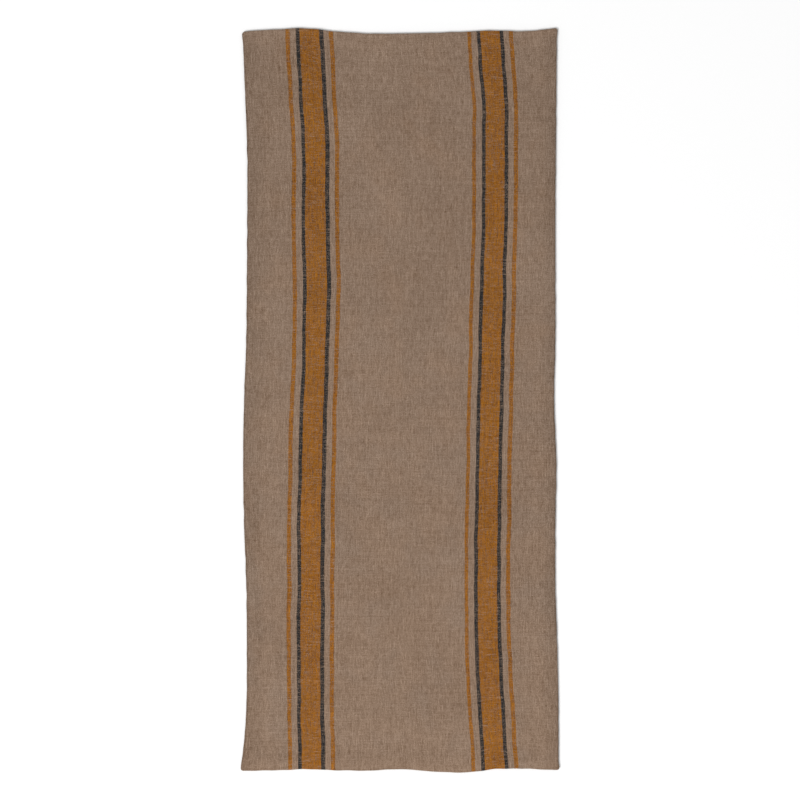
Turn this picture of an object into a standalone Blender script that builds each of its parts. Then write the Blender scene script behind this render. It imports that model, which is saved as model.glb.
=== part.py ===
"""A lined table runner, lying flat.

Two linen cloths of the same size, a striped face and a plain back, are sewn right sides
together round the edge and turned right side out through a gap left in one long side. Each
cloth then wraps over its own edge: the outer skin, the fold, and the seam allowance lying
inside. The seam's two threads lie in those folds, and a third closes the gap.

Metres. +Y runs along the runner, +Z points up out of the face, and the origin is on the table
under the middle of the runner.
"""

import math

import bmesh
import bpy

# Overall size
WIDTH = 0.500
LENGTH = 1.200

# Cloth and seam
CLOTH = 0.0005
SEAM_ALLOWANCE = 0.010
CORNER_RADIUS = 0.005
CORNER_STEPS = 5
FOLD_STEPS = 4
FOLD_FLAT = 0.0001

# Sewing thread, which fills the space between neighbouring layers of cloth
THREAD_DIAMETER = 0.0003
THREAD_CLEARANCE = 0.0001

# The gap in the left side, which the runner was turned through
TURNING_GAP = 0.120
TURNING_GAP_CENTRE = -0.260
HAND_STITCH = 0.004
HAND_STITCH_DEPTH = 0.0015

# Sizes that follow
LAYER_SPACE = THREAD_DIAMETER + 2 * THREAD_CLEARANCE
PANEL_HEIGHT = 2 * CLOTH + LAYER_SPACE
THICKNESS = 2 * PANEL_HEIGHT + LAYER_SPACE
FOLD_RADIUS = (PANEL_HEIGHT - FOLD_FLAT) / 2
SEAM_INSET = CLOTH + THREAD_CLEARANCE + THREAD_DIAMETER / 2


def clear_scene():
    """Removes every object that the script opens on."""
    for old in list(bpy.data.objects):
        bpy.data.objects.remove(old, do_unlink=True)


def make_material(name, colour, roughness):
    """A plain, non-metallic cloth or thread material."""
    material = bpy.data.materials.new(name)
    material.use_nodes = True
    shader = material.node_tree.nodes["Principled BSDF"]
    shader.inputs["Base Color"].default_value = (*colour, 1.0)
    shader.inputs["Roughness"].default_value = roughness
    shader.inputs["Metallic"].default_value = 0.0
    return material


def into(collection, piece, material):
    """Moves a new piece into the runner's collection and gives it its one material."""
    for old in list(piece.users_collection):
        old.objects.unlink(piece)
    collection.objects.link(piece)
    piece.data.materials.clear()
    piece.data.materials.append(material)


def turned_panel(name, skin_z, inward):
    """One cloth with its allowance turned in, as a rounded sheet wrapped over its own edge.

    The outer skin lies at skin_z, and inward, +1 or -1, is the way from it to the inside. The
    mesh is the cloth's outer surface, and Solidify adds its thickness on the inner side.
    """
    bpy.ops.mesh.primitive_plane_add(size=1, location=(0, 0, skin_z))
    panel = bpy.context.object
    panel.name = name
    panel.scale = (WIDTH, LENGTH, 1)
    bpy.ops.object.transform_apply(location=True, rotation=False, scale=True)

    mesh = panel.data
    mesh.name = name
    bm = bmesh.new()
    bm.from_mesh(mesh)
    bmesh.ops.bevel(
        bm,
        geom=bm.verts[:],
        offset=CORNER_RADIUS,
        offset_type="OFFSET",
        segments=CORNER_STEPS,
        profile=0.5,
        affect="VERTICES",
    )

    def pull_rim(move, shrink):
        rim = [edge for edge in bm.edges if edge.is_boundary]
        pulled = bmesh.ops.extrude_edge_only(bm, edges=rim)
        verts = [item for item in pulled["geom"] if isinstance(item, bmesh.types.BMVert)]
        bmesh.ops.translate(bm, verts=verts, vec=(0, 0, move))
        bmesh.ops.scale(bm, verts=verts, vec=(*shrink, 1))

    pull_rim(inward * PANEL_HEIGHT, (1, 1))
    pull_rim(0, (1 - 2 * SEAM_ALLOWANCE / WIDTH, 1 - 2 * SEAM_ALLOWANCE / LENGTH))

    bmesh.ops.recalc_face_normals(bm, faces=bm.faces[:])
    skin = max(bm.faces, key=lambda face: face.calc_area())
    if skin.normal.z * inward > 0:
        bmesh.ops.reverse_faces(bm, faces=bm.faces[:])
    bm.to_mesh(mesh)
    bm.free()
    mesh.shade_smooth()
    mesh.set_sharp_from_angle(angle=math.radians(40))

    fold = panel.modifiers.new("fold", "BEVEL")
    fold.limit_method = "ANGLE"
    fold.angle_limit = math.radians(60)
    fold.offset_type = "OFFSET"
    fold.width = FOLD_RADIUS
    fold.segments = FOLD_STEPS
    fold.use_clamp_overlap = False

    cloth = panel.modifiers.new("cloth", "SOLIDIFY")
    cloth.thickness = CLOTH
    cloth.offset = -1
    cloth.use_even_offset = True
    return panel


def corner_arc(centre, start, inset):
    """Points round one corner, turning a quarter circle clockwise from the start angle."""
    radius = CORNER_RADIUS - inset
    points = []
    for step in range(CORNER_STEPS + 1):
        angle = start - math.pi / 2 * step / CORNER_STEPS
        points.append((centre[0] + radius * math.cos(angle), centre[1] + radius * math.sin(angle)))
    return points


def seam_line(inset):
    """The seam, from the top of the turning gap clockwise to its foot."""
    middle_x = WIDTH / 2 - CORNER_RADIUS
    middle_y = LENGTH / 2 - CORNER_RADIUS
    side_x = inset - WIDTH / 2
    line = [(side_x, TURNING_GAP_CENTRE + TURNING_GAP / 2)]
    line += corner_arc((-middle_x, middle_y), math.pi, inset)
    line += corner_arc((middle_x, middle_y), math.pi / 2, inset)
    line += corner_arc((middle_x, -middle_y), 0, inset)
    line += corner_arc((-middle_x, -middle_y), -math.pi / 2, inset)
    line.append((side_x, TURNING_GAP_CENTRE - TURNING_GAP / 2))
    return line


def hand_stitches(inset):
    """Square steps along the turning gap: along one fold, in, along the other, and out."""
    outer_x = inset - WIDTH / 2
    inner_x = outer_x + HAND_STITCH_DEPTH
    count = round(TURNING_GAP / HAND_STITCH) - 1
    first_y = TURNING_GAP_CENTRE - count * HAND_STITCH / 2
    line = []
    for step in range(count):
        y = first_y + step * HAND_STITCH
        x = outer_x if step % 2 else inner_x
        line += [(x, y), (x, y + HAND_STITCH)]
    return line


def thread(name, line, z):
    """A sewing thread along a line of points at one height."""
    curve = bpy.data.curves.new(name, "CURVE")
    curve.dimensions = "3D"
    curve.bevel_depth = THREAD_DIAMETER / 2
    curve.bevel_resolution = 2
    curve.use_fill_caps = True
    spline = curve.splines.new("POLY")
    spline.points.add(len(line) - 1)
    for point, (x, y) in zip(spline.points, line):
        point.co = (x, y, z, 1)
    return bpy.data.objects.new(name, curve)


def build():
    clear_scene()
    runner = bpy.data.collections.new("table_runner")
    bpy.context.scene.collection.children.link(runner)

    striped_linen = make_material("striped_linen", (0.255, 0.174, 0.123), 0.9)
    plain_linen = make_material("plain_linen", (0.262, 0.180, 0.128), 0.9)
    sewing_thread = make_material("sewing_thread", (0.230, 0.160, 0.110), 0.6)

    into(runner, turned_panel("back_panel", 0, 1), plain_linen)
    into(runner, turned_panel("face_panel", THICKNESS, -1), striped_linen)

    seam = seam_line(SEAM_INSET)
    into(runner, thread("seam_bobbin_thread", seam, PANEL_HEIGHT / 2), sewing_thread)
    into(runner, thread("seam_needle_thread", seam, THICKNESS - PANEL_HEIGHT / 2), sewing_thread)
    into(runner, thread("closing_thread", hand_stitches(SEAM_INSET), THICKNESS / 2), sewing_thread)


build()
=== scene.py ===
# %% [markdown]
# # A lined linen table runner
#
# The runner is two linen cloths of one size: a face with two groups of woven stripes, and a
# plain back. They are sewn together inside out, turned right side out through a gap in one side,
# and the gap is closed by hand. Each cloth then wraps over its own edge, so nothing shows there
# but two soft folds with a groove between them, and the raw edges lie hidden inside.
#
# The CAD model holds the size and the place of every piece. This script keeps that frame and
# gives each piece the shape and finish of real cloth and thread.

# %% Load the frame
import math

import bpy
import numpy as np
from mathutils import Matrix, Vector, noise


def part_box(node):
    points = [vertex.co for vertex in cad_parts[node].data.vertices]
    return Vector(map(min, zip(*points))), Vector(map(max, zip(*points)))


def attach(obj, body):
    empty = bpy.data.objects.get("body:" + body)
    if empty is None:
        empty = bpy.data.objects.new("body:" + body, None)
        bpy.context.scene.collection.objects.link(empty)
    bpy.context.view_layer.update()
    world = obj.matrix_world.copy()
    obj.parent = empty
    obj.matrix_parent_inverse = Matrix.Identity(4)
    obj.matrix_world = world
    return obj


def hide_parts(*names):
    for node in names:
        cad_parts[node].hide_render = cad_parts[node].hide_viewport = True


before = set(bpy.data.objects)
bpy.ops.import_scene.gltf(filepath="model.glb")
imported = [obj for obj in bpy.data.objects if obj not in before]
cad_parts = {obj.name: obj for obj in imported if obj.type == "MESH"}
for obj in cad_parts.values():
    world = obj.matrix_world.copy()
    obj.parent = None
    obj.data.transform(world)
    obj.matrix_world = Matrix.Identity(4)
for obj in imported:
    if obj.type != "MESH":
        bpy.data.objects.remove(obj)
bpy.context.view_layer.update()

MM = 0.001

# %% [markdown]
# ## Sizes
#
# Every size that the frame knows is read from it. The face panel's box gives the runner's
# outline and the height of one folded cloth, and a seam thread's box gives the thread's
# thickness and how far inside the edge the seam lies. Only what a box can't tell is given here:
# the thickness of the linen, the turned-in allowance and the roundness of the corners.

# %% Read the sizes
face_low, face_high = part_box("face_panel")
needle_low, needle_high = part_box("seam_needle_thread")
closing_low, closing_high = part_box("closing_thread")

HALF_WIDTH = (face_high[0] - face_low[0]) / 2
HALF_LENGTH = (face_high[1] - face_low[1]) / 2
TOP = face_high[2]
PANEL_HEIGHT = face_high[2] - face_low[2]
FOLD_RADIUS = PANEL_HEIGHT / 2
THREAD = needle_high[2] - needle_low[2]
SEAM_INSET = face_high[0] - needle_high[0] + THREAD / 2

LINEN = 0.5 * MM
ALLOWANCE = 10 * MM
CORNER_RADIUS = 5 * MM
print("outline", round(HALF_WIDTH * 2, 4), "by", round(HALF_LENGTH * 2, 4), "m")
print("seam inset", round(SEAM_INSET / MM, 2), "mm")

# %% [markdown]
# ## Camera
#
# The runner is looked at from straight above. From three metres up, through a long lens, the
# edges aren't seen at a slant, and the runner fills the height of the picture with a little
# room at both ends. The field is the height of the picture where the runner lies, in metres.

# %% Place the camera
FIELD = 1.292
LENS = 85
SENSOR = 36
CAMERA_SIDE = -1.0 * MM
CAMERA_ALONG = 1.0 * MM

camera_data = bpy.data.cameras.new("camera")
camera_data.lens = LENS
camera_data.sensor_width = SENSOR
camera_data.clip_end = 50
camera = bpy.data.objects.new("camera", camera_data)
bpy.context.scene.collection.objects.link(camera)
camera.location = (CAMERA_SIDE, CAMERA_ALONG, TOP + FIELD * LENS / SENSOR)
bpy.context.scene.camera = camera
print("camera", round(camera.location.z, 3), "m up")

# %% [markdown]
# ## Light and floor
#
# Linen is matt and shows its relief only where light comes from one side more than from the
# others. A pale sky all round gives the even base. One very large lamp models the soft ridges
# without hard shadows, from a long way off, so that both ends of the runner get nearly the same
# light. The colours are shown by the Standard transform, which leaves a dyed colour as it was
# mixed.

# %% Light the runner
SKY = 0.59
LAMP_POWER = 930
LAMP_SIZE = 5
LAMP_PLACE = Vector((-5, -5.5, 8))

scene = bpy.context.scene
scene.view_settings.view_transform = "Standard"
scene.view_settings.look = "None"

world = bpy.data.worlds.new("pale_sky")
scene.world = world
world.use_nodes = True
world.node_tree.nodes["Background"].inputs["Color"].default_value = (1, 1, 1, 1)
world.node_tree.nodes["Background"].inputs["Strength"].default_value = SKY

lamp_data = bpy.data.lights.new("large_lamp", "AREA")
lamp_data.shape = "DISK"
lamp_data.size = LAMP_SIZE
lamp_data.energy = LAMP_POWER
lamp = bpy.data.objects.new("large_lamp", lamp_data)
scene.collection.objects.link(lamp)
lamp.location = LAMP_PLACE
lamp.rotation_euler = (-LAMP_PLACE).to_track_quat("-Z", "Y").to_euler()
print("lamp", LAMP_SIZE, "m wide,", round(LAMP_PLACE.length, 1), "m away; sky", SKY)

# %% [markdown]
# ## How the runner lies
#
# Washed linen is never quite true. Pulled straight by hand on a table, its long edges wander a
# few millimetres in and out, the stripes snake with the warp, and the ends bow. If each point
# of the flat, sewn runner is given the place where it comes to lie, the edges, the stripes, the
# weave and the stitches all follow together, as they do on the real thing.
#
# Four lines are followed along the length: the two edges and the middles of the two stripe
# groups. Each has its sideways shift noted, in millimetres, every tenth of a metre or so, and a
# smooth curve runs through the notes. The stripes of a group keep their distances, so the shift
# passes smoothly from one line to the next only in the plain strips between. The two ends have
# notes of their own. Last, each corner was poked out from inside with a blunt stick when the
# runner was turned, one further than another.

# %% A smooth curve through evenly spaced notes
def four_weights(t):
    """How much each of the four notes round a place counts. t goes from the second to the third."""
    return (
        (-t + 2 * t**2 - t**3) / 2,
        (2 - 5 * t**2 + 3 * t**3) / 2,
        (t + 4 * t**2 - 3 * t**3) / 2,
        (t**3 - t**2) / 2,
    )


def curve_through(notes, half_span, where):
    """The Catmull-Rom curve through notes spaced evenly from -half_span to half_span."""
    padded = np.pad(np.asarray(notes, float), 1, mode="reflect", reflect_type="odd")
    place = np.clip((where / half_span + 1) / 2, 0, 1) * (len(notes) - 1)
    left = np.minimum(place.astype(int), len(notes) - 2)
    weights = four_weights(place - left)
    return sum(weight * padded[left + step] for step, weight in enumerate(weights))


def smooth_step(t):
    """0 up to t = 0, 1 from t = 1, and a smooth rise between."""
    t = np.clip(t, 0, 1)
    return t * t * (3 - 2 * t)


print("a tenth, a half and nine tenths of the way up:", smooth_step(np.array((0.1, 0.5, 0.9))).round(3))

# %% The shifts, in millimetres, from the near end to the far end
LEFT_EDGE = (-6.5, 1, 2, 1, -2.5, -4, -2.5, 1, 2, 2.6, 2.6, -1, -5)
LEFT_STRIPES = (-1.4, -3.4, -3.4, -2.9, -3, -1, 1.7, 5, 6.3, 4, 4.7, -0.4, -5.8)
RIGHT_STRIPES = (6, 0.5, -4.7, -5.9, -5.4, -3.8, -1.7, 1.5, 3.3, 6.3, 6.2, 5, -2.8)
RIGHT_EDGE = (4.5, 4.5, 2.5, -0.5, -0.5, 1, -2.5, -0.5, -0.5, -0.6, 0.2, 1, 2)

# From the left side to the right side
FAR_END = (0.4, 2.5, 4.8, -0.2, -3.6, -3.7, -2.8, -1.2, 1.1, 0, 5)
NEAR_END = (-2.3, -0.6, 1.2, -0.5, -1, 1.2, -2.7, -3.9, 1.7, 1.8, -0.5)
END_REACH = 160 * MM

LEFT_STRIPES_MIDDLE = -142 * MM
RIGHT_STRIPES_MIDDLE = 145.5 * MM
STRIPES_REACH = 38 * MM

# Washing has let the width out a little and drawn the length in
WASHED_WIDTH = 1.002
WASHED_LENGTH = 0.9945

# For each corner: which side, which end, how far it was poked sideways and lengthways, and how
# far that reaches, in millimetres
CORNER_PUSHES = (
    (-1, -1, -1.9, 0.8, 42),
    (1, -1, 1.8, 0.2, 17),
    (1, 1, 1.3, 0.4, 20),
    (-1, 1, -1, -1.2, 26),
)

# Where the turned-in layers bunch, the edge itself is faintly lumpy
LUMP_HEIGHT = 0.7 * MM
LUMP_LENGTH = 19 * MM
LUMP_REACH = 18 * MM

# How far apart opposite edges read their lumps, in metres, so that no two are alike
SIDES_APART = 3
ENDS_APART = 5


def lumps(along):
    """The small, uneven in-and-out of an edge, at places along it."""
    lump = [noise.noise(Vector((place, 0, 0))) for place in along / LUMP_LENGTH]
    return LUMP_HEIGHT * np.array(lump)


def lay(flat):
    """Where points of the flat runner come to lie. Takes and gives (n, 2) arrays, in metres."""
    x, y = flat[:, 0], flat[:, 1]
    plain_strips = (
        (-HALF_WIDTH, LEFT_STRIPES_MIDDLE - STRIPES_REACH),
        (LEFT_STRIPES_MIDDLE + STRIPES_REACH, RIGHT_STRIPES_MIDDLE - STRIPES_REACH),
        (RIGHT_STRIPES_MIDDLE + STRIPES_REACH, HALF_WIDTH),
    )
    shifts = [
        curve_through(notes, HALF_LENGTH, y) * MM
        for notes in (LEFT_EDGE, LEFT_STRIPES, RIGHT_STRIPES, RIGHT_EDGE)
    ]
    sideways = shifts[0]
    for step, (start, end) in enumerate(plain_strips):
        share = smooth_step((x - start) / (end - start))
        sideways = sideways + (shifts[step + 1] - shifts[step]) * share

    far = curve_through(FAR_END, HALF_WIDTH, x) * MM
    near = curve_through(NEAR_END, HALF_WIDTH, x) * MM
    lengthways = far * smooth_step(1 - (HALF_LENGTH - y) / END_REACH)
    lengthways = lengthways + near * smooth_step(1 - (HALF_LENGTH + y) / END_REACH)

    side_share = smooth_step(1 - (HALF_WIDTH - np.abs(x)) / LUMP_REACH)
    end_share = smooth_step(1 - (HALF_LENGTH - np.abs(y)) / LUMP_REACH)
    sideways = sideways + side_share * lumps(y + SIDES_APART * np.sign(x))
    lengthways = lengthways + end_share * lumps(x + ENDS_APART * np.sign(y))
    laid = np.stack((x * WASHED_WIDTH + sideways, y * WASHED_LENGTH + lengthways), axis=1)
    for side, end, push_x, push_y, reach in CORNER_PUSHES:
        distance = np.linalg.norm(flat - (side * HALF_WIDTH, end * HALF_LENGTH), axis=1)
        share = smooth_step(1 - distance / (reach * MM))
        laid = laid + share[:, None] * (push_x * MM, push_y * MM)
    return laid


corners = np.array([(sx * HALF_WIDTH, sy * HALF_LENGTH) for sx in (-1, 1) for sy in (-1, 1)])
print("corners come to lie at, in mm:", (lay(corners) / MM).round(1).tolist())

# %% [markdown]
# ## The relief of the face
#
# Round the edge four layers of linen lie on each other, and in the middle only two, so the face
# stands highest over the turned-in allowance and sinks just inside it. On that come the things
# that hands leave behind: a few short creases and dimples, and the faint cockling of washed
# cloth. Each crease is a low ridge or hollow with a place, a direction, a length, a width and a
# height. The seam holds the rim stiff, so creases and cockling fade out towards it.

# %% Creases: x, y, direction in degrees, length, width and height, in mm
CREASES = (
    (6, -428, 86, 40, 13, -1.0),
    (-31, -424, 95, 30, 12, -0.8),
    (-17, -441, 15, 50, 18, -0.7),
    (-49, 404, 92, 110, 18, 0.8),
    (60, 363, 82, 70, 15, -0.8),
    (76, 172, 84, 60, 14, -0.9),
    (234, 452, 6, 36, 12, 0.8),
    (224, 462, 14, 30, 12, -0.6),
    (-199, -400, 3, 36, 13, 0.8),
    (-238, 366, 80, 34, 13, -0.9),
    (-236, 206, 96, 50, 14, -0.8),
    (226, -462, 86, 95, 15, 0.9),
    (-236, -356, 94, 75, 15, 0.8),
    (-222, 505, 62, 60, 20, 0.7),
    (206, 545, -52, 70, 22, 0.7),
    (-208, -556, -42, 70, 22, -0.6),
    (212, -560, 47, 60, 20, -0.6),
)
SINK = 1.5 * MM
SINK_FROM = 9 * MM
SINK_OVER = 24 * MM
COCKLE_HEIGHT = 0.3 * MM
COCKLE_WIDTH = 46 * MM
COCKLE_LENGTH = 95 * MM
STIFF_RIM = 4 * MM
LOOSE_OVER = 20 * MM
LOWEST_SKIN = 1.1 * MM
SOFTNESS = 0.3 * MM
print(len(CREASES), "creases; the middle lies", round(SINK / MM, 2), "mm lower than the edge")


def inside_edge(flat):
    """How far points of the flat runner lie inside its nearest edge."""
    return np.min((HALF_WIDTH, HALF_LENGTH) - np.abs(flat), axis=1)


def pressed_relief(flat):
    """How high the face stands above its own edge, which is 0 or less over most of it."""
    x, y = flat[:, 0], flat[:, 1]
    inside = inside_edge(flat)
    height = -SINK * smooth_step((inside - SINK_FROM) / SINK_OVER)
    loose = smooth_step((inside - STIFF_RIM) / LOOSE_OVER)
    for place_x, place_y, turn, length, width, rise in CREASES:
        along_x, along_y = math.cos(math.radians(turn)), math.sin(math.radians(turn))
        from_x, from_y = x - place_x * MM, y - place_y * MM
        along = (from_x * along_x + from_y * along_y) / (length * MM / 2)
        across = (from_y * along_x - from_x * along_y) / (width * MM / 2)
        height = height + rise * MM * loose * np.exp(-(along**4) - across**2)
    cockle = [noise.noise(Vector((a / COCKLE_WIDTH, b / COCKLE_LENGTH, 0))) for a, b in flat]
    return height + COCKLE_HEIGHT * loose * np.array(cockle)


# %% [markdown]
# ## Letting the cloth settle
#
# Washed cloth is a little larger than the seam that it is sewn into, so it can't lie quite
# flat: it rises in soft waves that run across from one side to the other. Such waves are hard
# to draw and easy to let happen. A stand-in sheet with few faces is held by its border over a
# bed, made three thousandths too large, and left to Blender's Cloth for a few frames. What it
# does is then smoothed, because a coarse sheet also folds along its own squares, and pressed
# down to a fraction of its height, as the hand that smooths the runner on the table does.
#
# The solver's smallest distances suit garments and curtains, so the stand-in is ten times the
# runner's size. Both helpers are removed afterwards.

# %% Settle a stand-in sheet
STAND_IN_COLUMNS = 56
STAND_IN_ROWS = 136
TIMES_LARGER = 10
TOO_LARGE = 0.003
SETTLING_FRAMES = 20
BED_BELOW = 0.4 * MM
HELD_LINES = 2
PRESSED_TO = 0.25
SMOOTHINGS = 3
CROWDING = 0.6

# At ten times the size: how far the bed and the sheet keep things off, and the bed's friction
BED_SKIN = 0.001
STAND_IN_SKIN = 0.002
BED_GRIP = 5

# A light, fairly stiff linen
CLOTH_SETTINGS = {
    "quality": 5,
    "mass": 0.15,
    "tension_stiffness": 25,
    "compression_stiffness": 12,
    "shear_stiffness": 4,
    "bending_stiffness": 20,
    "shrink_min": -TOO_LARGE,
    "air_damping": 2,
}


def crowd(share):
    """Even shares from -1 to 1 moved so that they lie closer together towards the ends."""
    return (1 - CROWDING) * share + CROWDING * np.sin(share * math.pi / 2)


def helper_grid(name, below):
    """A grid in the shape of the pressed face, ten times its size."""
    bpy.ops.object.select_all(action="DESELECT")
    bpy.ops.mesh.primitive_grid_add(
        x_subdivisions=STAND_IN_COLUMNS, y_subdivisions=STAND_IN_ROWS, size=2
    )
    grid = bpy.context.object
    grid.name = name
    places = np.empty(len(grid.data.vertices) * 3)
    grid.data.vertices.foreach_get("co", places)
    flat = crowd(places.reshape(-1, 3)[:, :2]) * (HALF_WIDTH, HALF_LENGTH)
    shape = np.column_stack((lay(flat), TOP + pressed_relief(flat) - below))
    grid.data.vertices.foreach_set("co", (shape * TIMES_LARGER).ravel())
    grid.data.update()
    return grid, shape


def three_point_mean(grid):
    """Each row of a grid averaged with the rows before and after it, which counts half."""
    padded = np.pad(grid, ((1, 1), (0, 0)), mode="edge")
    return (padded[:-2] + 2 * grid + padded[2:]) / 4


def settled_waves():
    """The height of the settled waves at each point of the stand-in, row by row."""
    stand_in, shape = helper_grid("stand_in", 0)
    bed, _ = helper_grid("bed", BED_BELOW)
    bed.modifiers.new("bed", "COLLISION")
    bed.collision.thickness_outer = BED_SKIN
    bed.collision.cloth_friction = BED_GRIP

    index = np.arange(len(shape)).reshape(STAND_IN_ROWS + 1, STAND_IN_COLUMNS + 1)
    free = index[HELD_LINES:-HELD_LINES, HELD_LINES:-HELD_LINES]
    held = set(index.ravel()) - set(free.ravel())
    border = stand_in.vertex_groups.new(name="held")
    border.add([int(vertex) for vertex in held], 1, "REPLACE")

    settle = stand_in.modifiers.new("settle", "CLOTH")
    settle.settings.vertex_group_mass = border.name
    for setting, value in CLOTH_SETTINGS.items():
        setattr(settle.settings, setting, value)
    settle.collision_settings.distance_min = STAND_IN_SKIN
    settle.point_cache.frame_end = SETTLING_FRAMES
    for frame_number in range(1, SETTLING_FRAMES + 1):
        scene.frame_set(frame_number)

    bpy.context.view_layer.objects.active = stand_in
    bpy.ops.object.modifier_apply(modifier=settle.name)
    settled = np.empty(len(shape) * 3)
    stand_in.data.vertices.foreach_get("co", settled)
    waves = settled.reshape(-1, 3)[:, 2] / TIMES_LARGER - shape[:, 2]
    for helper in (stand_in, bed):
        bpy.data.meshes.remove(helper.data)
    scene.frame_set(1)
    waves = waves.reshape(STAND_IN_ROWS + 1, STAND_IN_COLUMNS + 1)
    for _ in range(SMOOTHINGS):
        waves = three_point_mean(three_point_mean(waves).T).T
    return waves


waves = settled_waves()
print("settled waves, in mm: mean", (waves.mean() / MM).round(2))
print("settled waves, in mm: highest", (waves.max() / MM).round(2))


# %% The whole relief
def between_rows(grid, row, column):
    """The height of a grid at places between its rows and columns, on smooth curves both ways."""
    padded = np.pad(grid, 1, mode="edge")
    left = np.minimum(row.astype(int), grid.shape[0] - 2)
    near = np.minimum(column.astype(int), grid.shape[1] - 2)
    height = 0
    for step, weight in enumerate(four_weights(row - left)):
        for side, share in enumerate(four_weights(column - near)):
            height = height + weight * share * padded[left + step, near + side]
    return height


def relief(flat):
    """How high the face stands above its own edge, waves and all. It can't sink into the back."""
    column_lines = crowd(np.linspace(-1, 1, STAND_IN_COLUMNS + 1)) * HALF_WIDTH
    row_lines = crowd(np.linspace(-1, 1, STAND_IN_ROWS + 1)) * HALF_LENGTH
    column = np.interp(flat[:, 0], column_lines, np.arange(STAND_IN_COLUMNS + 1))
    row = np.interp(flat[:, 1], row_lines, np.arange(STAND_IN_ROWS + 1))
    height = pressed_relief(flat) + PRESSED_TO * between_rows(waves, row, column)
    spare = height + TOP - LOWEST_SKIN
    return height - spare + (spare + np.sqrt(spare**2 + SOFTNESS**2)) / 2


# %% [markdown]
# ## A cloth wrapped over its own edge
#
# Both cloths are made alike, from the outer surface inwards. A grid of squares is the part that
# shows. Its border edges are extruded ring after ring, and the rings are then placed round the
# fold and along the allowance inside. The grid's lines crowd towards the edges, where the
# shape is small. Solidify gives the linen its thickness on the inner side, which also closes
# the raw edge.
#
# The UV map holds the cloth's own flat measurements, in metres from its middle. On the folded
# part it runs on past the edge, as the cloth does, so stripes and threads turn over the edge
# and don't stop there.

# %% Make a wrapped cloth
FOLD_RINGS = 5
TUCK_RINGS = 2
RINGS = FOLD_RINGS + TUCK_RINGS


def round_corners(points, half_x, half_y, radius):
    """Moves a rectangle's points so that its corners turn on arcs. Also gives the outward way."""
    signs = np.sign(points)
    into = np.abs(points) - (half_x - radius, half_y - radius)
    in_corner = np.all(into > 0, axis=1)
    reach = np.linalg.norm(into, axis=1, keepdims=True)
    reach[reach == 0] = 1
    drawn = into * np.max(into, axis=1, keepdims=True) / reach
    on_arc = signs * (drawn + (half_x - radius, half_y - radius))
    rounded = np.where(in_corner[:, None], on_arc, points)
    straight = np.where(into[:, :1] > into[:, 1:], (1, 0), (0, 1))
    outward = np.where(in_corner[:, None], into / reach, straight) * signs
    return rounded, outward


def wrapped_cloth(name, columns, rows, height_of_skin, facing):
    """One cloth. Its skin lies at height_of_skin and faces up (facing 1) or down (facing -1)."""
    bpy.ops.object.select_all(action="DESELECT")
    bpy.ops.mesh.primitive_grid_add(x_subdivisions=columns, y_subdivisions=rows, size=2)
    cloth = bpy.context.object
    cloth.name = cloth.data.name = name
    skin_count = len(cloth.data.vertices)

    bpy.ops.object.mode_set(mode="EDIT")
    bpy.ops.mesh.select_mode(type="EDGE")
    bpy.ops.mesh.select_all(action="DESELECT")
    bpy.ops.mesh.select_non_manifold(extend=False, use_multi_face=False, use_non_contiguous=False)
    for _ in range(RINGS):
        bpy.ops.mesh.extrude_edges_move()
    bpy.ops.object.mode_set(mode="OBJECT")

    mesh = cloth.data
    count = len(mesh.vertices)
    border_count = (count - skin_count) // RINGS
    places = np.empty(count * 3)
    mesh.vertices.foreach_get("co", places)
    shares = places.reshape(-1, 3)[:, :2]
    ring = np.maximum((np.arange(count) - skin_count) // border_count + 1, 0)

    half_x, half_y = HALF_WIDTH - FOLD_RADIUS, HALF_LENGTH - FOLD_RADIUS
    even = crowd(shares) * (half_x, half_y)
    skin, outward = round_corners(even, half_x, half_y, CORNER_RADIUS - FOLD_RADIUS)

    turned = math.pi * np.minimum(ring, FOLD_RINGS) / FOLD_RINGS
    out = FOLD_RADIUS * np.sin(turned)
    down = FOLD_RADIUS * (1 - np.cos(turned))
    tucked = (ALLOWANCE - FOLD_RADIUS) * np.maximum(ring - FOLD_RINGS, 0) / TUCK_RINGS
    shrink = 1 - tucked[:, None] / (half_x, half_y)
    flat = skin * shrink + outward * out[:, None]
    measured = skin + outward * (FOLD_RADIUS * turned + tucked)[:, None]

    laid = lay(flat)
    rise = np.where(ring == 0, relief(flat), 0) if facing > 0 else np.zeros(count)
    height = height_of_skin - facing * down + rise
    mesh.vertices.foreach_set("co", np.column_stack((laid, height)).ravel())

    corner_verts = np.empty(len(mesh.loops), int)
    mesh.loops.foreach_get("vertex_index", corner_verts)
    while mesh.uv_layers:
        mesh.uv_layers.remove(mesh.uv_layers[0])
    uv_map = mesh.uv_layers.new(name="flat_cloth")
    uv_map.uv.foreach_set("vector", measured[corner_verts].ravel())
    if facing < 0:
        mesh.flip_normals()
    mesh.update()
    return cloth


def give_thickness(cloth):
    """The linen's own thickness, on the inner side of its skin."""
    bpy.context.view_layer.objects.active = cloth
    linen = cloth.modifiers.new("linen", "SOLIDIFY")
    linen.thickness = LINEN
    linen.offset = -1
    linen.use_even_offset = True
    bpy.ops.object.modifier_apply(modifier=linen.name)
    cloth.data.shade_smooth()
    print(cloth.name, len(cloth.data.polygons), "faces")


# %% The two cloths
FACE_COLUMNS = 124
FACE_ROWS = 298
BACK_COLUMNS = 80
BACK_ROWS = 190

face_cloth = wrapped_cloth("face_cloth", FACE_COLUMNS, FACE_ROWS, TOP, 1)
give_thickness(face_cloth)
back_cloth = wrapped_cloth("back_cloth", BACK_COLUMNS, BACK_ROWS, 0, -1)
give_thickness(back_cloth)

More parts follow.
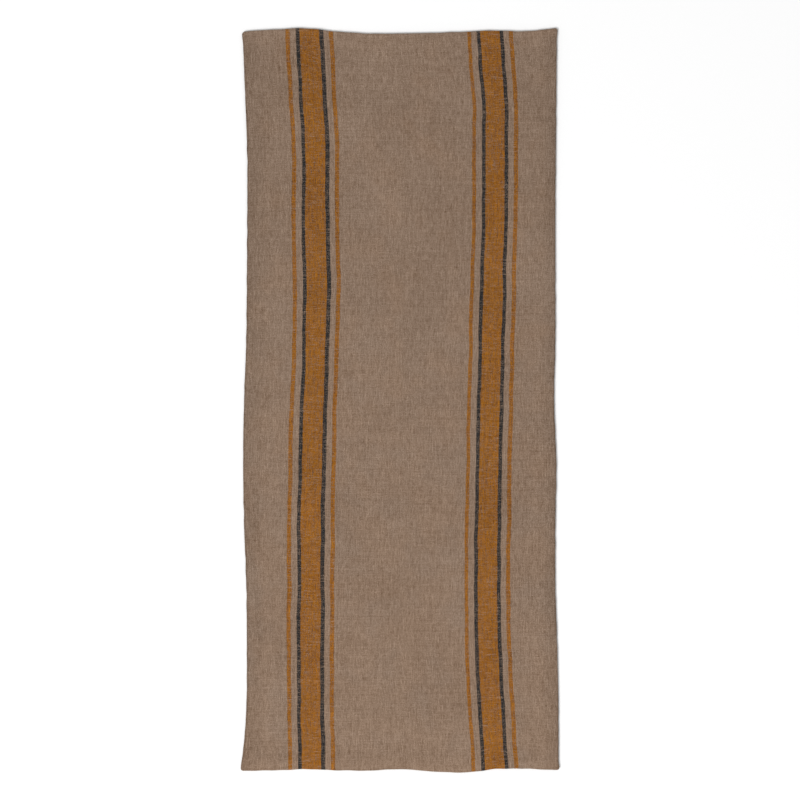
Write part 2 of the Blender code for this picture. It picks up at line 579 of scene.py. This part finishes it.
# %% [markdown]
# ## The seam's two threads
#
# A sewing machine joins the cloths with two threads. The needle thread runs along inside the
# face's fold and the bobbin thread along inside the back's, and at each stitch both dip through
# their cloth and lock round each other in the groove, where the runner's edge shows them as a
# row of tiny dots. The path is worked out on the flat runner, stitch by stitch, and laid with
# the same function as the cloth, so the thread stays in its fold wherever the edge wanders. A
# bevelled curve then makes it round.
#
# The seam stops at both ends of the gap that the runner was turned through.

# %% A line round the runner
STITCH = 2.8 * MM
LOCK_SHARE = 0.12
ARC_STEPS = 12
GAP_SPARE = 2 * MM
gap_top = closing_high[1] + GAP_SPARE
gap_foot = closing_low[1] - GAP_SPARE
print("gap from", round(gap_foot / MM, 1), "to", round(gap_top / MM, 1), "mm along the left side")


def edge_line(inset):
    """Points round the flat runner, clockwise from the top of the gap to its foot."""
    middle_x, middle_y = HALF_WIDTH - CORNER_RADIUS, HALF_LENGTH - CORNER_RADIUS
    radius = CORNER_RADIUS - inset
    line = [(inset - HALF_WIDTH, gap_top)]
    for sign_x, sign_y, start in ((-1, 1, 180), (1, 1, 90), (1, -1, 0), (-1, -1, -90)):
        for step in range(ARC_STEPS + 1):
            angle = math.radians(start - 90 * step / ARC_STEPS)
            x = sign_x * middle_x + radius * math.cos(angle)
            y = sign_y * middle_y + radius * math.sin(angle)
            line.append((x, y))
    line.append((inset - HALF_WIDTH, gap_foot))
    return np.array(line)


def points_at(line, distances):
    """The points of a line at distances along it."""
    steps = np.linalg.norm(np.diff(line, axis=0), axis=1)
    so_far = np.concatenate(([0], np.cumsum(steps)))
    return np.column_stack([np.interp(distances, so_far, line[:, axis]) for axis in (0, 1)])


def make_thread(name, flat, heights):
    """A round thread laid along flat points at those heights."""
    bpy.ops.object.select_all(action="DESELECT")
    curve = bpy.data.curves.new(name, "CURVE")
    curve.dimensions = "3D"
    curve.bevel_depth = THREAD / 2
    curve.bevel_resolution = 1
    curve.use_fill_caps = True
    spline = curve.splines.new("POLY")
    spline.points.add(len(flat) - 1)
    places = np.column_stack((lay(flat), heights, np.ones(len(flat))))
    spline.points.foreach_set("co", places.ravel())
    thread = bpy.data.objects.new(name, curve)
    scene.collection.objects.link(thread)
    thread.select_set(True)
    bpy.context.view_layer.objects.active = thread
    bpy.ops.object.convert(target="MESH")
    bpy.ops.object.mode_set(mode="EDIT")
    bpy.ops.mesh.select_all(action="SELECT")
    bpy.ops.mesh.remove_doubles(threshold=MM / 1000)
    bpy.ops.mesh.normals_make_consistent(inside=False)
    bpy.ops.object.mode_set(mode="OBJECT")
    thread.data.shade_smooth()
    print(name, len(flat), "points,", len(thread.data.polygons), "faces")
    return thread


# %% Sew the seam
seam = edge_line(SEAM_INSET)
seam_length = np.linalg.norm(np.diff(seam, axis=0), axis=1).sum()
stitches = int(seam_length / STITCH)
starts = np.arange(stitches) * STITCH
shares = np.array((0, LOCK_SHARE, 0.5, 1 - LOCK_SHARE))
distances = (starts[:, None] + shares * STITCH).ravel()
seam_points = points_at(seam, distances)
run_height = PANEL_HEIGHT / 2
lock_height = TOP / 2 - THREAD / 3
bobbin_heights = np.tile((lock_height, run_height, run_height, run_height), stitches)
needle_heights = TOP - bobbin_heights
needle_thread = make_thread("needle_thread", seam_points, needle_heights)
bobbin_thread = make_thread("bobbin_thread", seam_points, bobbin_heights)
print("seam", round(seam_length, 3), "m with", stitches, "stitches")

# %% [markdown]
# ## The hand-closed gap
#
# The gap is closed from outside with ladder stitches: the needle runs a few millimetres inside
# one fold, crosses straight to the other fold, and runs on there. Drawn tight, only the short
# rungs between the folds can be seen.

# %% Close the gap
HAND_STITCH = 4 * MM
RUNG_INSET = 0.45 * MM
rungs = round((closing_high[1] - closing_low[1]) / HAND_STITCH)
rung_places = closing_low[1] + HAND_STITCH * np.arange(rungs + 1)
ladder_y = np.repeat(rung_places, 2)[1:-1]
ladder_x = np.full(len(ladder_y), RUNG_INSET - HALF_WIDTH)
in_face = np.arange(rungs) % 2 == 0
ladder_heights = np.repeat(np.where(in_face, TOP - run_height, run_height), 2)
ladder = np.column_stack((ladder_x, ladder_y))
closing_stitches = make_thread("closing_stitches", ladder, ladder_heights)
print("gap", round((gap_top - gap_foot) / MM, 1), "mm, closed with", rungs, "hand stitches")

# %% [markdown]
# ## Cloth and thread in numbers
#
# All the materials below read the flat measurements in the UV map, so one metre on the cloth is
# one unit in the nodes, and a thread count is simply a number of threads per metre. A few
# helpers keep the node code short: one adds a node, one does a sum, and one starts a group.

# %% Node helpers
NOISE_REACH = 0.3


def add_node(tree, kind, **settings):
    """A new node with its settings made."""
    node = tree.nodes.new(kind)
    for setting, value in settings.items():
        setattr(node, setting, value)
    return node


def plug(tree, socket, value):
    """Gives a socket a link or a plain value."""
    if isinstance(value, bpy.types.NodeSocket):
        tree.links.new(value, socket)
    else:
        socket.default_value = value


def calc(tree, operation, *values):
    """A Math node on links or numbers, and its result."""
    node = add_node(tree, "ShaderNodeMath", operation=operation)
    for socket, value in zip(node.inputs, values):
        plug(tree, socket, value)
    return node.outputs[0]


def total(tree, *values):
    """The sum of links and numbers."""
    so_far = values[0]
    for value in values[1:]:
        so_far = calc(tree, "ADD", so_far, value)
    return so_far


def spread(tree, value, most):
    """Stretches a noise, which lies within NOISE_REACH of 0.5, to reach from -most to most."""
    return calc(tree, "MULTIPLY", calc(tree, "SUBTRACT", value, 0.5), most / NOISE_REACH)


def ramp(tree, value, low, high, to_low=0, to_high=1, kind="SMOOTHSTEP"):
    """A Map Range node: low to high becomes to_low to to_high."""
    node = add_node(tree, "ShaderNodeMapRange", interpolation_type=kind)
    labels = ("Value", "From Min", "From Max", "To Min", "To Max")
    for label, given in zip(labels, (value, low, high, to_low, to_high)):
        plug(tree, node.inputs[label], given)
    return node.outputs["Result"]


def point(tree, x, y, z=0.0):
    """A Combine XYZ node."""
    node = add_node(tree, "ShaderNodeCombineXYZ")
    for socket, value in zip(node.inputs, (x, y, z)):
        plug(tree, socket, value)
    return node.outputs[0]


def scaled(tree, across, along, times_across, times_along):
    """A point of the cloth, with its two measurements multiplied."""
    longer_across = calc(tree, "MULTIPLY", across, times_across)
    longer_along = calc(tree, "MULTIPLY", along, times_along)
    return point(tree, longer_across, longer_along)


def first_two_parts(tree, kind, socket):
    """A Separate node of that kind, and its first two outputs."""
    node = add_node(tree, kind)
    plug(tree, node.inputs[0], socket)
    return node.outputs[0], node.outputs[1]


def mottle(tree, vector, scale, detail=2.0, roughness=0.5, flat=True):
    """A Noise Texture. Gives its value, which lies round 0.5, and its colour."""
    node = add_node(tree, "ShaderNodeTexNoise", noise_dimensions="2D" if flat else "3D")
    plug(tree, node.inputs["Vector"], vector)
    node.inputs["Scale"].default_value = scale
    node.inputs["Detail"].default_value = detail
    node.inputs["Roughness"].default_value = roughness
    return node.outputs[0], node.outputs[1]


def blend_numbers(tree, share, first, second):
    """first where share is 0 and second where it is 1."""
    return calc(tree, "MULTIPLY_ADD", share, calc(tree, "SUBTRACT", second, first), first)


def blend_colours(tree, share, first, second, kind="MIX"):
    """A Mix node for colours."""
    node = add_node(tree, "ShaderNodeMix", data_type="RGBA", blend_type=kind)
    colour_sockets = [socket for socket in node.inputs if socket.type == "RGBA"]
    plug(tree, node.inputs[0], share)
    plug(tree, colour_sockets[0], first)
    plug(tree, colour_sockets[1], second)
    return next(socket for socket in node.outputs if socket.type == "RGBA")


def start_group(name, input_name, input_kind, outputs):
    """A shader node group with one input and some numbers out."""
    tree = bpy.data.node_groups.new(name, "ShaderNodeTree")
    tree.interface.new_socket(input_name, in_out="INPUT", socket_type=input_kind)
    for label in outputs:
        tree.interface.new_socket(label, in_out="OUTPUT", socket_type="NodeSocketFloat")
    given = add_node(tree, "NodeGroupInput").outputs[0]
    result = add_node(tree, "NodeGroupOutput").inputs
    return tree, given, result


def use_group(tree, group, value):
    """Places a group in a material, feeds its input, and gives its outputs."""
    node = add_node(tree, "ShaderNodeGroup", node_tree=group)
    plug(tree, node.inputs[0], value)
    return [socket for socket in node.outputs if socket.enabled and socket.name]


# %% [markdown]
# ## Plain weave
#
# In plain weave each weft thread goes over one warp thread and under the next. The product of
# two sine waves, one across the warp and one along it, is a chequerboard of little hills and
# hollows with exactly that order: where it is above zero the warp lies on top, and where it is
# well below zero the weft does. This warp is set closely, so it hides more of the weft than the
# weft hides of it, and the dividing line is put below zero.
#
# Each thread is round from side to side and dips where one of the other set crosses over it.
# The warp's threads run on like cords, with the weft's dots between them.
#
# Linen yarn is uneven. Each thread gets a slow noise of its own, read along its length, for its
# slubs: a thick place covers more, is lighter and stands higher. The threads also wander, crowd
# together and part by a fraction of a millimetre, and no two crossings are quite alike.

# %% The weave group
WARP_PER_METRE = 1350
WEFT_PER_METRE = 1200
SLUB_LENGTH = 14 * MM
DRIFT_SCALE = 14
WANDER = 6
CROWD_SIZE = 1.7 * MM
FAR_APART = 7.31
ROUNDNESS = 0.5

# How much thick and thin places move the dividing line, and where the weft begins to show and
# shows fully, in the product of the two waves
UNEVEN_COVER = 1.8
WEFT_BEGINS = -0.5
WEFT_SHOWS = -0.8

# Where each thread lies lowest and highest in the same product, and how low it dips
WARP_LOW = -0.6
WARP_HIGH = 0.6
WEFT_LOW = -0.2
DIP = 0.5

weave, cloth_place, result = start_group(
    "plain_weave",
    "Cloth",
    "NodeSocketVector",
    ("Weft on top", "Height", "Slub", "Crossing", "Crowded", "Thread place"),
)
across, along = first_two_parts(weave, "ShaderNodeSeparateXYZ", cloth_place)
_, drift = mottle(weave, cloth_place, scale=DRIFT_SCALE, detail=2)
drift_across, drift_along = first_two_parts(weave, "ShaderNodeSeparateColor", drift)
warp_drift = calc(weave, "MULTIPLY", drift_across, WANDER)
weft_drift = calc(weave, "MULTIPLY", drift_along, WANDER)
warp_place = calc(weave, "MULTIPLY_ADD", across, WARP_PER_METRE, warp_drift)
weft_place = calc(weave, "MULTIPLY_ADD", along, WEFT_PER_METRE, weft_drift)
warp_wave = calc(weave, "SINE", calc(weave, "MULTIPLY", warp_place, math.pi))
weft_wave = calc(weave, "SINE", calc(weave, "MULTIPLY", weft_place, math.pi))
crossing = calc(weave, "MULTIPLY", warp_wave, weft_wave)

warp_number = calc(weave, "FLOOR", warp_place)
weft_number = calc(weave, "FLOOR", weft_place)
down_the_warp = scaled(weave, warp_number, along, FAR_APART, 1 / SLUB_LENGTH)
down_the_weft = scaled(weave, across, weft_number, 1 / SLUB_LENGTH, FAR_APART)
warp_slub, _ = mottle(weave, down_the_warp, 1, 1)
weft_slub, _ = mottle(weave, down_the_weft, 1, 1)

crowded, _ = mottle(weave, cloth_place, scale=1 / CROWD_SIZE, detail=1)
thinner_weft = total(weave, warp_slub, calc(weave, "MULTIPLY", weft_slub, -1), crowded, -0.5)
cover = calc(weave, "MULTIPLY_ADD", thinner_weft, UNEVEN_COVER, crossing)
weft_on_top = ramp(weave, cover, WEFT_BEGINS, WEFT_SHOWS)
warp_round = calc(weave, "POWER", calc(weave, "ABSOLUTE", warp_wave), ROUNDNESS)
weft_round = calc(weave, "POWER", calc(weave, "ABSOLUTE", weft_wave), ROUNDNESS)
warp_rise = ramp(weave, crossing, WARP_LOW, WARP_HIGH, DIP, 1)
weft_rise = ramp(weave, crossing, WEFT_LOW, WEFT_SHOWS, DIP, 1)
warp_height = calc(weave, "MULTIPLY", warp_round, warp_rise)
weft_height = calc(weave, "MULTIPLY", weft_round, weft_rise)
hill = blend_numbers(weave, weft_on_top, warp_height, weft_height)
each = add_node(weave, "ShaderNodeTexWhiteNoise", noise_dimensions="2D")
plug(weave, each.inputs["Vector"], point(weave, warp_number, weft_number))
without_drift = calc(weave, "SUBTRACT", warp_number, WANDER / 2 - 0.5)
thread_place = calc(weave, "DIVIDE", without_drift, WARP_PER_METRE)

plug(weave, result["Weft on top"], weft_on_top)
# The height also paints shade into the weave's hollows in the linen
plug(weave, result["Height"], hill)
plug(weave, result["Slub"], blend_numbers(weave, weft_on_top, warp_slub, weft_slub))
plug(weave, result["Crossing"], each.outputs["Value"])
plug(weave, result["Crowded"], crowded)
plug(weave, result["Thread place"], thread_place)
print("weave:", WARP_PER_METRE / 100, "by", WEFT_PER_METRE / 100, "threads per centimetre")

# %% [markdown]
# ## Woven stripes
#
# The stripes aren't printed. The weaver warps the loom with yarn of three colours in a set
# order, and the stripes run along the whole cloth. A Color Ramp with constant steps is that
# warping order: each run of yarn has a width, and the ramp says, by its red and green, whether
# the yarn there is ochre, charcoal or undyed. It is read at each warp thread's own place, so a
# thread has one colour from side to side and a stripe's edge wanders with its threads. Both
# groups have the same order, so it is written once and read from the middle of the nearer one:
# a ramp spread over one group is also finer than one spread over the whole cloth. Washing let
# the left group out by a hundredth and drew the right one in a little more.
#
# The weft is undyed from end to end and shows as small pale flecks, which is why the charcoal
# looks like salt and pepper.

# %% The warping order, from left to right: yarn and width in millimetres
STRIPE_GROUP = (
    ("ochre", 6.5),
    ("natural", 9.2),
    ("charcoal", 6.1),
    ("ochre", 31.8),
    ("charcoal", 6.1),
    ("natural", 9),
    ("ochre", 6.4),
)
GROUP_WIDTH = sum(width for _, width in STRIPE_GROUP) * MM
GROUP_MARGIN = 2 * MM
LEFT_DRAWN_IN = 0.99
RIGHT_DRAWN_IN = 1.014
YARN_MARKS = {"natural": (0, 0, 0, 1), "ochre": (1, 0, 0, 1), "charcoal": (0, 1, 0, 1)}

stripes, thread_place, result = start_group(
    "woven_stripes", "Thread place", "NodeSocketFloat", ("Ochre", "Charcoal")
)
on_the_right = calc(stripes, "GREATER_THAN", thread_place, 0)
middle = blend_numbers(stripes, on_the_right, LEFT_STRIPES_MIDDLE, RIGHT_STRIPES_MIDDLE)
drawn_in = blend_numbers(stripes, on_the_right, LEFT_DRAWN_IN, RIGHT_DRAWN_IN)
from_middle = calc(stripes, "MULTIPLY", calc(stripes, "SUBTRACT", thread_place, middle), drawn_in)
span = GROUP_WIDTH + 2 * GROUP_MARGIN
order = add_node(stripes, "ShaderNodeValToRGB")
plug(stripes, order.inputs[0], ramp(stripes, from_middle, -span / 2, span / 2, kind="LINEAR"))
order.color_ramp.interpolation = "CONSTANT"
marks = order.color_ramp.elements
marks.remove(marks[1])
marks[0].position, marks[0].color = 0, YARN_MARKS["natural"]
start = GROUP_MARGIN
for yarn, width in (*STRIPE_GROUP, ("natural", 0)):
    marks.new(start / span).color = YARN_MARKS[yarn]
    start += width * MM
is_ochre, is_charcoal = first_two_parts(stripes, "ShaderNodeSeparateColor", order.outputs[0])
plug(stripes, result["Ochre"], is_ochre)
plug(stripes, result["Charcoal"], is_charcoal)
print("stripe group", round(GROUP_WIDTH / MM, 1), "mm wide, of", len(STRIPE_GROUP), "runs of yarn")

# %% [markdown]
# ## Washing, and painted light and shade
#
# Flax takes dye and wash unevenly, so the ground is clouded, with slow patches a hand wide and
# finer ones a thumb wide, and it carries long, thin, faint bars where one reel of yarn ended and
# the next began. Towards its near end it is painted a little lighter, as painted light, and it is
# also warmer there. The sides are painted a shade darker, as painted shade for the four layers of
# cloth there, which let less light back than two, and the folds at the sides are painted darker
# still, as painted shade where the cloth turns over the edge. The two ends are painted a touch
# paler than the rest, and their folds are painted less dark.

# %% The wash group, with painted light and shade
EDGE_BAND = 34 * MM
FOLD_BAND = 4.5 * MM
END_FOLD_SHARE = 0.3
END_PALER = 0.5
CLOUD_SCALE = 8
HUE_SCALE = 14
BARS_THIN = 560
BARS_LONG = 8
LIGHT_AND_WARMTH_ALONG = -0.25
SIDES_COOLER = -0.08
ALL_COOLER = -0.02

wash, cloth_place, result = start_group(
    "wash_and_painted_light", "Cloth", "NodeSocketVector", ("Cloud and light", "Bars", "Warmth", "Edge", "Fold shade")
)
across, along = first_two_parts(wash, "ShaderNodeSeparateXYZ", cloth_place)
slow, _ = mottle(wash, cloth_place, scale=CLOUD_SCALE, detail=2)
# Painted light: lighter towards the near end, which is also warmer in hue
near_end_light_and_warmth = calc(wash, "MULTIPLY", along, LIGHT_AND_WARMTH_ALONG)
plug(wash, result["Cloud and light"], total(wash, slow, near_end_light_and_warmth))
bars_along, _ = mottle(wash, scaled(wash, across, along, BARS_THIN, BARS_LONG), 1, 1)
bars_across, _ = mottle(wash, scaled(wash, across, along, BARS_LONG, BARS_THIN), 1, 1)
plug(wash, result["Bars"], calc(wash, "MULTIPLY", total(wash, bars_along, bars_across), 0.5))
from_side = calc(wash, "SUBTRACT", HALF_WIDTH, calc(wash, "ABSOLUTE", across))
from_end = calc(wash, "SUBTRACT", HALF_LENGTH, calc(wash, "ABSOLUTE", along))
# Painted shade: darker towards the sides; the ends are painted paler
at_side = ramp(wash, from_side, EDGE_BAND, 0)
at_end = ramp(wash, from_end, EDGE_BAND, 0)
plug(wash, result["Edge"], calc(wash, "MULTIPLY_ADD", at_end, -END_PALER, at_side))
hue, _ = mottle(wash, cloth_place, scale=HUE_SCALE, detail=3, roughness=0.6)
side_hue = calc(wash, "MULTIPLY", at_side, SIDES_COOLER)
plug(wash, result["Warmth"], total(wash, hue, near_end_light_and_warmth, side_hue, ALL_COOLER))
# Painted shade on the folds, weaker at the ends
fold_at_sides = ramp(wash, from_side, FOLD_BAND, 0)
fold_at_ends = ramp(wash, from_end, FOLD_BAND, 0, 0, END_FOLD_SHARE)
plug(wash, result["Fold shade"], calc(wash, "MAXIMUM", fold_at_sides, fold_at_ends))
print("wash: edges", round(EDGE_BAND / MM), "mm wide, folds", round(FOLD_BAND / MM, 1), "mm wide")

# %% [markdown]
# ## Two linens
#
# Both cloths are the same linen: the face has the stripes, and the back is left plain. The
# yarns are mixed first and the cloth is built from them: the warp's colour, the weft's colour,
# and the weave to choose between them. Wash and slubs then shade the result, and so does painted
# shade, which darkens the weave's hollows between the threads, the sides and the folds; painted
# light makes the near end lighter, and the ends are painted paler. The unevenness and the shade
# in the hollows go a little more into the blue than into the red: a thick place is paler and
# greyer, and the gaps between the threads are browner. Dry linen scatters light and has next to
# no gloss, but its loose fibre ends catch light at a slant, which is what sheen is for.

# %% Make a linen
NATURAL_WARP = (0.238, 0.161, 0.1125, 1)
NATURAL_WEFT = (0.251, 0.171, 0.122, 1)
OCHRE = (0.246, 0.088, 0.0055, 1)
CHARCOAL = (0.013, 0.014, 0.015, 1)
WARM = (1.014, 1.002, 0.978, 1)
COOL = (0.984, 1.004, 1.018, 1)

# How much each kind of unevenness, and the painted light and shade at the ends, the sides, the
# folds and the weave's hollows, lightens or darkens the cloth
SLUB_SHADE = 0.34
CROSSING_SHADE = 0.16
CROWDED_SHADE = 0.13
BARS_SHADE = 0.15
CLOUD_AND_LIGHT_SHADE = 0.06
HOLLOW_PAINTED_SHADE = 0.22
OCHRE_EXTRA = 0.3
# Painted shade at the sides and on the folds, with the ends painted paler
EDGE_PAINTED_SHADE = -0.11
FOLD_PAINTED_SHADE = -0.2
SHADE_OF_RED_GREEN_BLUE = (0.86, 1, 1.14)

FIBRE_SCALE = 2600
SLUB_RISE = 0.8
FIBRE_RISE = 0.3
WEAVE_DEPTH = 0.12 * MM
WEAVE_STRENGTH = 0.8


def make_linen(name, striped):
    """A linen material, with or without the woven stripes."""
    material = bpy.data.materials.new(name)
    material.use_nodes = True
    tree = material.node_tree
    shader = tree.nodes["Principled BSDF"]
    flat = add_node(tree, "ShaderNodeUVMap", uv_map="flat_cloth").outputs[0]
    weft_on_top, height, slub, crossing, crowded, thread_place = use_group(tree, weave, flat)
    cloud_and_light, bars, warmth, edge, fold_shade = use_group(tree, wash, flat)

    warp = NATURAL_WARP
    if striped:
        ochre, charcoal = use_group(tree, stripes, thread_place)
        warp = blend_colours(tree, ochre, NATURAL_WARP, OCHRE)
        warp = blend_colours(tree, charcoal, warp, CHARCOAL)
    colour = blend_colours(tree, weft_on_top, warp, NATURAL_WEFT)
    tint = blend_colours(tree, ramp(tree, warmth, 0.3, 0.7), COOL, WARM)
    colour = blend_colours(tree, 1, colour, tint, "MULTIPLY")

    uneven_and_hollow_shade = total(
        tree,
        spread(tree, slub, SLUB_SHADE),
        spread(tree, crossing, CROSSING_SHADE),
        spread(tree, crowded, CROWDED_SHADE),
        spread(tree, bars, BARS_SHADE),
        spread(tree, cloud_and_light, CLOUD_AND_LIGHT_SHADE),
        # Painted shade: darker in the weave's hollows between the threads
        calc(tree, "MULTIPLY", calc(tree, "SUBTRACT", height, 1), HOLLOW_PAINTED_SHADE),
    )
    if striped:
        uneven_and_hollow_shade = calc(tree, "MULTIPLY", uneven_and_hollow_shade, calc(tree, "MULTIPLY_ADD", ochre, OCHRE_EXTRA, 1))
    # Painted shade at the sides and on the folds, and the ends painted paler
    at_edge = calc(tree, "MULTIPLY", edge, EDGE_PAINTED_SHADE)
    painted_fold_shade = calc(tree, "MULTIPLY", fold_shade, FOLD_PAINTED_SHADE)
    painted_edge_and_fold_shade = total(tree, at_edge, painted_fold_shade, 1)
    shades = [calc(tree, "MULTIPLY_ADD", uneven_and_hollow_shade, share, painted_edge_and_fold_shade) for share in SHADE_OF_RED_GREEN_BLUE]
    colour = blend_colours(tree, 1, colour, point(tree, *shades), "MULTIPLY")
    plug(tree, shader.inputs["Base Color"], colour)
    plug(tree, shader.inputs["Roughness"], ramp(tree, slub, 0.2, 0.8, 0.96, 0.82))

    fibres, _ = mottle(tree, flat, scale=FIBRE_SCALE, detail=2)
    slub_rise = calc(tree, "MULTIPLY", slub, SLUB_RISE)
    fibre_rise = calc(tree, "MULTIPLY", fibres, FIBRE_RISE)
    rise = total(tree, height, slub_rise, fibre_rise)
    bump = add_node(tree, "ShaderNodeBump")
    bump.inputs["Distance"].default_value = WEAVE_DEPTH
    bump.inputs["Strength"].default_value = WEAVE_STRENGTH
    plug(tree, bump.inputs["Height"], rise)
    plug(tree, shader.inputs["Normal"], bump.outputs[0])
    shader.inputs["Specular IOR Level"].default_value = 0.15
    shader.inputs["Sheen Weight"].default_value = 0.05
    shader.inputs["Sheen Roughness"].default_value = 0.5
    return material


striped_linen = make_linen("striped_linen", True)
plain_linen = make_linen("plain_linen", False)
for cloth, linen in ((face_cloth, striped_linen), (back_cloth, plain_linen)):
    cloth.data.materials.clear()
    cloth.data.materials.append(linen)
    print(cloth.name, "is linen of", len(linen.node_tree.nodes), "nodes")

# %% [markdown]
# ## Sewing thread
#
# Spun polyester in the colour of the ground, two plies twisted together. It is smoother than
# linen, so it shines a little where the plies turn.

# %% Make the thread's material
PLY_TURNS = 900
PLY_UNEVEN = 1.5
PLY_DEPTH = 0.05 * MM
FUZZ_SCALE = 3000
# Painted shade: the grooves between the plies are painted darker
PLY_GROOVE_SHADE = (0.175, 0.120, 0.084, 1)
PLY_LIGHT = (0.275, 0.193, 0.138, 1)
FUZZ_LIGHT = (0.35, 0.26, 0.19, 1)

sewing_thread = bpy.data.materials.new("sewing_thread")
sewing_thread.use_nodes = True
tree = sewing_thread.node_tree
shader = tree.nodes["Principled BSDF"]
place = add_node(tree, "ShaderNodeTexCoord").outputs["Object"]
plies = add_node(tree, "ShaderNodeTexWave", bands_direction="DIAGONAL")
plug(tree, plies.inputs["Vector"], place)
plies.inputs["Scale"].default_value = PLY_TURNS
plies.inputs["Distortion"].default_value = PLY_UNEVEN
fuzz, _ = mottle(tree, place, scale=FUZZ_SCALE, flat=False)
fuzzy = ramp(tree, fuzz, 0.3, 0.8, 0, 0.3)
thread_colour = blend_colours(tree, plies.outputs["Fac"], PLY_GROOVE_SHADE, PLY_LIGHT)
thread_colour = blend_colours(tree, fuzzy, thread_colour, FUZZ_LIGHT)
plug(tree, shader.inputs["Base Color"], thread_colour)
plug(tree, shader.inputs["Roughness"], ramp(tree, plies.outputs["Fac"], 0, 1, 0.7, 0.45))
twist = add_node(tree, "ShaderNodeBump")
twist.inputs["Distance"].default_value = PLY_DEPTH
plug(tree, twist.inputs["Height"], plies.outputs["Fac"])
plug(tree, shader.inputs["Normal"], twist.outputs[0])
shader.inputs["Sheen Weight"].default_value = 0.1

for thread in (needle_thread, bobbin_thread, closing_stitches):
    thread.data.materials.clear()
    thread.data.materials.append(sewing_thread)
    print(thread.name, "is twisted thread,", round(THREAD / MM, 2), "mm thick")

# %% [markdown]
# ## The floor
#
# A plain pale board, which isn't part of the runner.

# %% Lay the floor
FLOOR_SIZE = 12
FLOOR_BELOW = 0.5 * MM
FLOOR_PAINT = (0.92, 0.92, 0.92, 1)

bpy.ops.object.select_all(action="DESELECT")
bpy.ops.mesh.primitive_plane_add(size=FLOOR_SIZE, location=(0, 0, -FLOOR_BELOW))
floor = bpy.context.object
floor.name = "floor"
floor_paint = bpy.data.materials.new("floor_paint")
floor_paint.use_nodes = True
shader = floor_paint.node_tree.nodes["Principled BSDF"]
shader.inputs["Base Color"].default_value = FLOOR_PAINT
shader.inputs["Roughness"].default_value = 0.9
floor.data.materials.append(floor_paint)
print("floor", FLOOR_SIZE, "m wide,", round(FLOOR_BELOW / MM, 1), "mm below the runner")

# %% [markdown]
# ## Hand the pieces to the frame
#
# Each piece rides on the runner's one body and stands for its CAD node, which is hidden.

# %% Attach each piece and hide its CAD part
for piece, node, slot in (
    (face_cloth, "face_panel", "striped_linen"),
    (back_cloth, "back_panel", "plain_linen"),
    (needle_thread, "seam_needle_thread", "sewing_thread"),
    (bobbin_thread, "seam_bobbin_thread", "sewing_thread"),
    (closing_stitches, "closing_thread", "sewing_thread"),
):
    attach(piece, "root")
    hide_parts(node)
